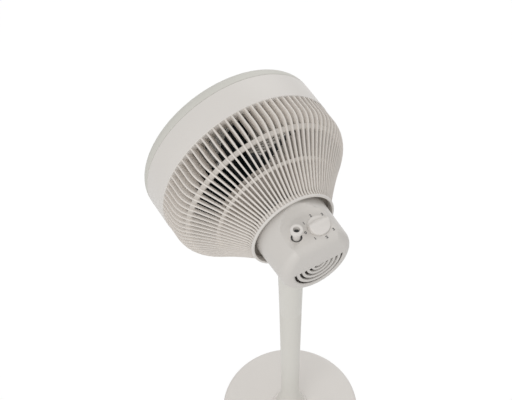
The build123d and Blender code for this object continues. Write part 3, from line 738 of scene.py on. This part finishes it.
# ------------------------ blades
@dataclass
class Blades:
    """Five twisted blades on a domed hub, and the nut that holds them."""

    count: int = 5
    tip_r: float = 99.6
    middle_s: float = 104.0
    root: Triple = (44.0, 48.0, 2.5)        # chord, pitch in degrees, camber
    tip: Triple = (70.0, 24.0, 5.0)
    sweep: float = 8.0
    thick: float = 1.9
    fullness: float = 0.55                  # power that thins the blade towards both edges
    sunk: float = 2.0                       # how far a blade starts inside the hub
    rows: int = 30
    around: int = 48
    hub_r: float = 24.0
    hub_s: Pair = (88.0, 118.0)
    hub_wall: float = 3.0
    bore_r: float = 4.0
    sleeve_r: float = 8.0
    nut_s: Triple = (118.05, 127.0, 129.4)  # seat, shoulder, tip
    nut_r: Pair = (10.1, 9.1)

    def blades(self) -> bpy.types.Mesh:
        """The blades as closed shells.

        Returns:
            The mesh. With u across the chord and v from hub to tip, the chord, the pitch and
            the camber run evenly from root to tip; the height over the chord is camber
            (1 - u^2), plus or minus half a thickness that thins towards both edges, and the
            outer end follows the circle of the tip radius.
        """
        v = np.linspace(0, 1, self.rows)[:, None]
        lap = full_turn(self.around)
        u = np.cos(lap)
        chord, pitch, camber = (a + (b - a) * v for a, b in zip(self.root, self.tip))
        pitch = np.radians(pitch)
        body = self.thick / 2 * (np.abs(np.sin(lap)) ** self.fullness) * np.sign(np.sin(lap))
        a = chord / 2 * u
        b = camber * (1 - u ** 2) + body + self.thick / 2
        across = self.sweep * v + a * np.cos(pitch) - b * np.sin(pitch)
        s = self.middle_s + a * np.sin(pitch) + b * np.cos(pitch)
        reach = np.sqrt(self.tip_r ** 2 - across[-1:] ** 2)
        out = self.hub_r - self.sunk + v * (reach - self.hub_r + self.sunk)
        turn = set_round(self.count)
        r = np.hypot(out, across)[None]
        points = PLACE.head(s[None], r, turn + np.arctan2(across, out)[None])
        quads, starts = sleeves(self.rows, self.around, self.count)
        near = np.arange(self.around // 2 - 1)
        far = self.around - near
        strip = np.stack([near, near + 1, (far - 1) % self.around, far % self.around], -1)
        ends = np.vstack([strip, (self.rows - 1) * self.around + strip])[None] + starts
        return merged(points, quads.tolist() + ends.reshape(-1, 4).tolist(), "blade_set")

    def hub(self) -> bpy.types.Mesh:
        """The hub's cup and the domed nut in front of it, turned."""
        rear, front = self.hub_s
        floor, inside = front - self.hub_wall, self.hub_r - self.hub_wall
        cup = rounded([(rear, inside, 0.5), (rear, self.hub_r, 0.8), (front, self.hub_r, 4.0),
                       (front, self.bore_r, 0), (rear, self.bore_r, 0),
                       (rear, self.sleeve_r, 0), (floor, self.sleeve_r, 0),
                       (floor, inside, 1.5)])
        seat, shoulder, tip = self.nut_s
        wide, narrow = self.nut_r
        nut = rounded([(seat, self.bore_r, 0), (seat, wide, 0.6), (shoulder, narrow, 1.2),
                       (tip, 0.0, 0), (shoulder, 0.0, 0), (shoulder, self.bore_r, 0)])
        return turned([cup, nut], Axis.FAN, SMALL_STEPS, "fan_hub")

    def build(self) -> None:
        """Make the blades and the hub and dress them."""
        Dress(DARK, "rotor", "dark_plastic", ("fan_blades",), 50).piece(self.blades())
        Dress(DARK, "rotor", "dark_plastic", ("spinner_nut",)).piece(self.hub())


# ------------------------ housing and controls
class Housing:
    """The motor housing's skin and the cone round the motor."""

    def build(self) -> None:
        """Dress smooth copies of the two mouldings, the housing and the cone round the motor."""
        # The housing's darker ivory is painted shade.
        Dress(HOUSING_PAINTED_SHADE, "head", "ivory_plastic", ("motor_housing",), 50).skin("motor_housing")
        # The cone's dark taupe is painted shade.
        Dress(CONE_PAINTED_SHADE, "head", "inner_plastic", ("motor_cone",), 24).skin("motor_cone")


@dataclass
class Controls:
    """The speed dial with its marks, and the pull knob."""

    dial_r: float = 14.2
    skirt: float = 3.6
    height: float = 9.0
    ridge_half: float = 3.1
    ridge_taper: float = 0.45
    scoop_r: float = 12.0
    scoop_out: float = 10.0     # from the ridge's side to the scoop's lowest line
    scoop_limit: float = 0.98   # of the scoop's radius
    crown: float = 0.8          # fall of the ridge's top to its sides
    fall: float = 0.8           # radius of the rim's round
    fall_limit: float = 0.999   # keeps the round's last slope finite
    lean: float = 0.04
    dial_gap: float = 0.3
    foot: tuple[Pair, ...] = ((1.0, 0.4), (0.985, 0.0), (0.0, 0.0))
    dial_steps: int = 192
    knob_z: tuple[float, ...] = (-10.0, 8.4, 12.4, 17.0)     # foot, flare, head, top
    stem_r: float = 4.9
    head_r: float = 8.1
    cup_z: float = 11.0
    cup_r: Pair = (4.1, 4.3)
    ring_steps: int = 96
    rings: tuple[tuple[str, str, Pair, Pair], ...] = (  # piece, body, heights, radii
        ("knob_cup_floor", "knob", (11.02, 11.3), (0.0, 3.9)),
        # The knob well's dark ring is painted shade in the gap round the knob's stem.
        ("knob_well_painted_shade", "head", (-1.6, -1.2), (5.2, 7.15)))
    mark_r: float = 18.6
    mark_size: float = 5.4
    mark_gap: float = 0.07
    mark_deep: float = 0.06
    mark_bold: float = 0.14
    marks: tuple[tuple[str, float], ...] = (
        ("0", 0.0), ("1", -45.0), ("2", -90.0), ("3", -135.0), ("1", 45.0), ("2", 90.0),
        ("3", 135.0))

    def dial(self) -> bpy.types.Mesh:
        """The dial: a disc with two scoops that leave a ridge.

        Returns:
            The mesh. Over polar coordinates, the height is the skirt plus a scoop of radius R
            about |y| = y0, R - sqrt(R^2 - (y0 - |y|)^2), no higher than the rounded top; the
            ridge's half width shrinks as 1 - taper (x / dial_r)^2 to its ends, and the rim
            falls off by a quarter round. The foot's rows are shares of the rim and heights.
        """
        # Rings of points, evenly out to 0.86 of the radius and closer from 0.89 to the rim.
        wide, close = np.linspace(0, 1, 44)[:-6], np.linspace(0.88, 1, 10)[1:]
        turn = full_turn(self.dial_steps)
        radius = self.dial_r * np.concatenate([wide, close])[:, None]
        x, y = radius * np.cos(turn), radius * np.sin(turn)
        half = self.ridge_half * (1 - self.ridge_taper * (x / self.dial_r) ** 2)
        gap = np.clip(half + self.scoop_out - np.abs(y), 0, self.scoop_r * self.scoop_limit)
        scoop = self.scoop_r - np.sqrt(self.scoop_r ** 2 - gap ** 2)
        top = self.height - self.crown * (np.abs(y) / half).clip(0, 1) ** 2
        z = np.minimum(self.skirt + scoop, top)
        over = np.clip((radius - self.dial_r + self.fall) / self.fall, 0, 1)
        z = z - self.fall * (1 - np.sqrt(1 - over ** 2 * self.fall_limit))
        shrink = 1 - self.lean * np.clip(z / self.height, 0, 1)
        rows = [np.stack([x * shrink, y * shrink, z], -1)]
        rows += [np.stack([x[-1:] * share, y[-1:] * share, np.full_like(x[-1:], low)], -1)
                 for share, low in self.foot]
        points = np.vstack(rows)
        points = points + np.array([PLACE.dial_x, PLACE.control_y,
                                    PLACE.panel_z + self.dial_gap])
        faces = grid_faces(len(points), self.dial_steps, False)
        return merged(points, faces.tolist(), "speed_dial_skin")

    def knob(self) -> bpy.types.Mesh:
        """The pull knob: a stem that flares into a head with a hollowed top, turned."""
        foot, flare, head, top = self.knob_z
        low, high = self.cup_r
        outline = rounded([(foot, 0.0, 0), (foot, self.stem_r, 0.4), (flare, self.stem_r, 2.0),
                           (head, self.head_r, 1.2), (top, self.head_r, 1.2), (top, high, 0.6),
                           (self.cup_z, low, 0.6), (self.cup_z, 0.0, 0)])
        return turned([outline], Axis.KNOB, SMALL_STEPS, "pull_knob_skin")

    def ring(self, heights: Pair, radii: Pair, name: str) -> bpy.types.Mesh:
        """A thin flat ring or disc round the knob's axis, with heights above the panel."""
        (low, high), (inside, outside) = heights, radii
        outline = np.array([(low, inside), (low, outside), (high, outside), (high, inside)])
        return turned([outline], Axis.KNOB, self.ring_steps, name)

    def mark(self, text: str, angle: float, name: str) -> bpy.types.Mesh:
        """One printed number beside the dial.

        Args:
            text: the number.
            angle: where it stands round the dial, in degrees from +X towards +Y.
            name: the mesh's name.

        Returns:
            The number as a thin mesh on the panel, upright for someone behind the fan.
        """
        curve = bpy.data.curves.new("mark", "FONT")
        curve.body = text
        curve.size = self.mark_size * MM
        curve.align_x, curve.align_y = "CENTER", "CENTER"
        curve.extrude = self.mark_deep * MM
        curve.offset = self.mark_bold * MM
        letter = placed("mark", curve)
        bpy.context.view_layer.update()
        mesh = bpy.data.meshes.new_from_object(letter)
        mesh.name = name
        bpy.data.objects.remove(letter)
        away = math.radians(angle)
        spot = Vector((PLACE.dial_x + self.mark_r * math.cos(away),
                       PLACE.control_y + self.mark_r * math.sin(away),
                       PLACE.panel_z + self.mark_gap)) * MM
        mesh.transform(Matrix.Translation(spot) @ Matrix.Rotation(math.pi, 4, "Z"))
        return mesh

    def build(self) -> None:
        """Make the dial, the knob, its two dark rings and the dial's numbers and dress them; the
        well's ring is painted shade in the gap round the knob's stem.
        """
        Dress(SHELL, "dial", "ivory_plastic", ("speed_dial",), 40).piece(self.dial())
        Dress(SHELL, "knob", "ivory_plastic", ("pull_knob",), 40).piece(self.knob())
        for name, body, heights, radii in self.rings:
            Dress(INK_AND_SHADE, body, "dark_plastic").piece(self.ring(heights, radii, name))
        for k, (text, angle) in enumerate(self.marks):
            Dress(INK_AND_SHADE, "head", "foil").piece(self.mark(text, angle, f"dial_mark_{k}"))


# ------------------------ stand
@dataclass
class Stand:
    """The post in its two pieces and the round base."""

    flare_z: Pair = (31.0, 82.0)
    waist_r: float = 12.7
    flare: float = 8.3                  # how much wider the post's foot is than its waist
    flare_power: float = 2.4
    flare_steps: int = 28
    foot: tuple[Pair, ...] = ((29.05, 20.6), (29.5, 21.0))
    seam_z: Pair = (284.5, 285.0)
    seam_r: Pair = (15.07, 14.75)
    spigot: Pair = (305.0, 10.5)        # top and radius of what enters the neck
    tenon: Pair = (17.0, 10.0)          # end and radius of what enters the base
    bore_r: float = 7.5
    base_r: float = 100.0
    base_wall: float = 2.4
    base_z: Triple = (3.0, 16.5, 17.2)  # underside, rim, dome's edge
    base_round: float = 5.9
    dome_r: float = 88.0
    boss_z: Pair = (23.0, 29.0)
    boss_r: Pair = (26.6, 24.0)
    boss_bore_r: float = 10.2
    hollow: tuple[Pair, ...] = (        # z and r under the dome, outwards
        (25.0, 10.2), (25.0, 21.6), (20.6, 24.0), (14.1, 90.0), (9.5, 97.6))

    def post(self) -> bpy.types.Mesh:
        """The lower post.

        Returns:
            The mesh: above the foot the radius falls as waist + flare (1 - t)^power up to the
            waist, and then grows evenly up to the seam.
        """
        t = np.linspace(0, 1, self.flare_steps)
        low, high = self.flare_z
        flare = np.stack([low + (high - low) * t,
                          self.waist_r + self.flare * (1 - t) ** self.flare_power], -1)
        (under, seam), (edge_r, top_r) = self.seam_z, self.seam_r
        (spigot_z, spigot_r), (tenon_z, tenon_r) = self.spigot, self.tenon
        rest = [(under, edge_r), (seam, top_r), (seam, spigot_r), (spigot_z, spigot_r),
                (spigot_z, self.bore_r), (tenon_z, self.bore_r), (tenon_z, tenon_r),
                (self.foot[0][0], tenon_r)]
        return turned([np.vstack([self.foot, flare, rest])], Axis.POST, SMALL_STEPS,
                      "lower_post_skin")

    def base(self) -> bpy.types.Mesh:
        """The base cover: a rounded rim, a shallow dome and a boss, turned."""
        low, rim, edge = self.base_z
        (slope, top), (wide, narrow) = self.boss_z, self.boss_r
        outline = rounded([(low, self.base_r, 0.5), (rim, self.base_r, self.base_round),
                           (edge, self.dome_r, 20.0), (slope, wide, 3.0), (top, narrow, 1.4),
                           (top, self.boss_bore_r, 0), *((z, r, 0) for z, r in self.hollow),
                           (low, self.base_r - self.base_wall, 0.3)], steps=10)
        return turned([outline], Axis.POST, WIDE_STEPS, "base_cover_skin")

    def build(self) -> None:
        """Make the post, the neck and the base and dress them."""
        Dress(POST, "stand", "post_paint", ("lower_post",), 40).piece(self.post())
        Dress(SHELL, "stand", "ivory_plastic", ("base_cover",), 30).piece(self.base())
        Dress(POST, "stand", "ivory_plastic", ("upper_neck",), 30).skin("upper_neck")
        Dress(ALLOY, "tilt", "alloy", ("tilt_bracket",), 30).skin("tilt_bracket")


@dataclass
class Inside:
    """Finishes of the CAD nodes that stay as they are."""

    finishes: dict[str, Finish | Ribbed] = field(default_factory=lambda: {
        "air_duct": DUCT, "gear_case": INNER_PAINTED_SHADE, "speed_switch": SWITCH, "cord_gland": RUBBER,
        "motor_shaft": STEEL, "oscillation_spindle": STEEL, "hinge_bolt": STEEL,
        "hinge_nut": STEEL, "knob_rod": STEEL, "base_screws": STEEL, "base_plate": STEEL,
        "post_nut": STEEL, "base_weight": IRON, "stator_core": LAMINATION,
        "rotor_core": LAMINATION, "stator_coils": WINDING, "motor_plate": ALLOY,
        "motor_front_bracket": ALLOY, "shaft_bearings": BRONZE, "oscillation_bush": BRONZE,
        "tilt_washers": BRONZE, "turn_washer": BRONZE, "capacitor": SLEEVE,
        "base_feet": RUBBER})

    def build(self) -> None:
        """Give each node its finish."""
        for node, finish in self.finishes.items():
            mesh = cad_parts[node].data
            mesh.materials.clear()
            mesh.materials.append(PAINT.of(finish))
            log.info("%s: %s", node, finish.name)


# ------------------------ studio
@dataclass
class Studio:
    """The floor, the light and the camera, in metres."""

    right: Triple = (-0.8597, 0.5105, -0.0155)
    up: Triple = (-0.4189, -0.6874, 0.5932)
    back: Triple = (0.2921, 0.5165, 0.8049)
    eye: Triple = (0.5700, 0.9209, 2.0051)
    lens: float = 105.47      # millimetres, on the sensor's width
    sensor: float = 36.0
    aim: Triple = (0.0, -0.04, 0.42)
    lamp_size: float = 1.6
    key: Triple = (1.3, 1.1, 1.9)
    key_power: float = 16.5   # watts
    fill: Triple = (-1.5, -1.3, 1.4)
    fill_power: float = 9.5
    floor_half: float = 6.0
    floor_colour: Triple = (0.82, 0.82, 0.82)
    glow: float = 1.03        # strength of the floor's own white
    glow_share: float = 0.94  # its share where the floor is seen
    ambient: float = 0.605    # light from all round; 1 where it is seen

    def camera(self) -> None:
        """The camera, where the photograph was taken from."""
        data = bpy.data.cameras.new("camera")
        data.lens = self.lens
        data.sensor_width = self.sensor
        data.sensor_fit = "HORIZONTAL"
        made = placed("camera", data)
        turn = Matrix((self.right, self.up, self.back)).transposed().to_4x4()
        made.matrix_world = Matrix.Translation(self.eye) @ turn
        bpy.context.scene.camera = made

    def lamp(self, name: str, spot: Triple, power: float) -> None:
        """A square soft lamp of the given power at the given spot, aimed at the fan's head."""
        data = bpy.data.lights.new(name, "AREA")
        data.size = self.lamp_size
        data.energy = power
        made = placed(name, data)
        made.location = spot
        aim = Vector(self.aim) - Vector(spot)
        made.rotation_euler = aim.to_track_quat("-Z", "Y").to_euler()

    def seen(self, tree: bpy.types.NodeTree) -> bpy.types.NodeSocket:
        """A socket that is 1 for rays from the camera or a gloss, and 0 for all others."""
        path = tree.nodes.new("ShaderNodeLightPath")
        either = tree.nodes.new("ShaderNodeMath")
        either.operation = "MAXIMUM"
        tree.links.new(path.outputs["Is Camera Ray"], either.inputs[0])
        tree.links.new(path.outputs["Is Glossy Ray"], either.inputs[1])
        return either.outputs[0]

    def floor(self) -> None:
        """A pale floor that reads as white to the camera and still takes the shadow."""
        far = self.floor_half
        mesh = bpy.data.meshes.new("floor")
        mesh.from_pydata([(-far, -far, 0), (far, -far, 0), (far, far, 0), (-far, far, 0)], [],
                         [(0, 1, 2, 3)])
        made = placed("floor", mesh)
        paint = bpy.data.materials.new("pale_floor")
        paint.use_nodes = True
        nodes, links = paint.node_tree.nodes, paint.node_tree.links
        nodes.remove(nodes["Principled BSDF"])
        matt = nodes.new("ShaderNodeBsdfDiffuse")
        matt.inputs["Color"].default_value = (*self.floor_colour, 1)
        glow = nodes.new("ShaderNodeEmission")
        glow.inputs["Color"].default_value = (1, 1, 1, 1)
        glow.inputs["Strength"].default_value = self.glow
        both = nodes.new("ShaderNodeMixShader")
        share = nodes.new("ShaderNodeMath")
        share.operation = "MULTIPLY"
        share.inputs[1].default_value = self.glow_share
        links.new(self.seen(paint.node_tree), share.inputs[0])
        links.new(share.outputs[0], both.inputs[0])
        links.new(matt.outputs[0], both.inputs[1])
        links.new(glow.outputs[0], both.inputs[2])
        links.new(both.outputs[0], nodes["Material Output"].inputs["Surface"])
        mesh.materials.append(paint)

    def world(self) -> None:
        """Even pale light from all round, white where the camera looks past the floor."""
        world = bpy.data.worlds.new("studio")
        bpy.context.scene.world = world
        world.use_nodes = True
        nodes, links = world.node_tree.nodes, world.node_tree.links
        ground = nodes["Background"]
        ground.inputs["Color"].default_value = (1.0, 1.0, 1.0, 1)
        power = nodes.new("ShaderNodeMapRange")
        power.inputs["To Min"].default_value = self.ambient
        power.inputs["To Max"].default_value = 1.0
        links.new(self.seen(world.node_tree), power.inputs["Value"])
        links.new(power.outputs["Result"], ground.inputs["Strength"])

    def build(self) -> None:
        """Set up the whole studio."""
        bpy.context.scene.view_settings.view_transform = "Standard"
        self.camera()
        self.floor()
        self.world()
        self.lamp("key", self.key, self.key_power)
        self.lamp("front_fill", self.fill, self.fill_power)


def main() -> None:
    """Build every piece in order."""
    logging.basicConfig(level=logging.INFO, format="%(message)s")
    for group in (Studio, RearGrille, FrontFace, Blades, Housing, Controls, Stand, Inside):
        group().build()


if __name__ == "__main__":
    main()
